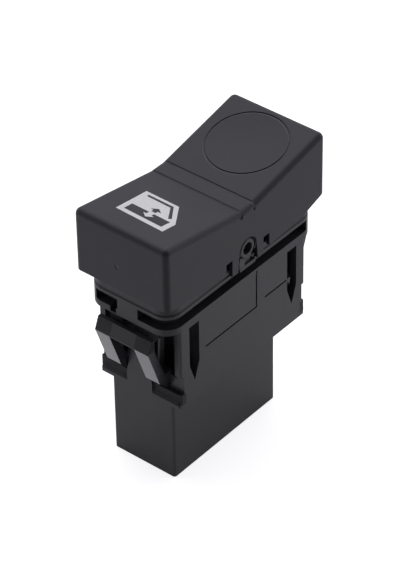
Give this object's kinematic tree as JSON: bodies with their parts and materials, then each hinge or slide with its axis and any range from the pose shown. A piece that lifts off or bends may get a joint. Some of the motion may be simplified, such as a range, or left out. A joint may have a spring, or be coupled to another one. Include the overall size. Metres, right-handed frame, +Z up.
{
  "type": "power window switch",
  "caption": "Black momentary rocker switch for a vehicle's power window, with a V-shaped cap, a lit window symbol, panel snap latches and a square plug shroud.",
  "frame": {"origin": "on the surface that the plug shroud stands on, under the middle of the rocker cap", "axes": "+Z up through the cap, +Y along the switch from the symbol end to the dished end, +X across it"},
  "size_m": [0.0236, 0.0508, 0.0634],
  "materials": {
    "housing_plastic": "moulded, lightly satin",
    "cap_plastic": "fine grained",
    "clear_plastic": "clear moulded",
    "plunger_plastic": "natural nylon",
    "spring_steel": "drawn wire",
    "copper_strip": "rolled copper strip",
    "silver_tip": "dull silver",
    "brass_terminal": "stamped strip",
    "lamp_resin": "cast resin"
  },
  "bodies": {
    "base": {"housing": "housing_plastic", "terminal_centre_left": "brass_terminal", "terminal_centre_right": "brass_terminal", "terminal_front_left": "brass_terminal", "terminal_front_right": "brass_terminal", "terminal_rear_left": "brass_terminal", "terminal_rear_right": "brass_terminal", "lamp_terminal_left": "brass_terminal", "lamp_terminal_right": "brass_terminal", "lamp": "lamp_resin", "fixed_tips": "silver_tip", "return_spring_front": "spring_steel", "return_spring_rear": "spring_steel"},
    "rocker": {"rocker_cap": "cap_plastic", "light_guide": "clear_plastic", "plunger_spring_left": "spring_steel", "plunger_spring_right": "spring_steel"},
    "plunger_left": {"plunger_left": "plunger_plastic"},
    "plunger_right": {"plunger_right": "plunger_plastic"},
    "contact_left": {"contact_blade_left": "copper_strip", "moving_tips_left": "silver_tip"},
    "contact_right": {"contact_blade_right": "copper_strip", "moving_tips_right": "silver_tip"}
  },
  "joints": [
    {"name": "rocker_pivot", "type": "hinge", "parent": "base", "child": "rocker", "pos_m": [0, 0, 0.049], "axis": [1, 0, 0], "range_deg": [-6, 6], "stiffness_Nm_per_rad": 0.6, "deforming": ["return_spring_front", "return_spring_rear"]},
    {"name": "contact_rock_left", "type": "hinge", "parent": "base", "child": "contact_left", "pos_m": [-0.0042, 0, 0.03055], "axis": [1, 0, 0], "range_deg": [-5.4, 5.4]},
    {"name": "contact_rock_right", "type": "hinge", "parent": "base", "child": "contact_right", "pos_m": [0.0042, 0, 0.03055], "axis": [1, 0, 0], "range_deg": [-5.4, 5.4]},
    {"name": "plunger_slide_left", "type": "slide", "parent": "rocker", "child": "plunger_left", "axis": [0, 0, 1], "range_m": [0, 0.0006], "stiffness_N_per_m": 400, "deforming": ["plunger_spring_left"]},
    {"name": "plunger_slide_right", "type": "slide", "parent": "rocker", "child": "plunger_right", "axis": [0, 0, 1], "range_m": [0, 0.0006], "stiffness_N_per_m": 400, "deforming": ["plunger_spring_right"]}
  ],
  "couplings": [
    {"joint": "contact_rock_left", "follows": "rocker_pivot", "ratio": -0.9},
    {"joint": "contact_rock_right", "follows": "rocker_pivot", "ratio": -0.9}
  ]
}
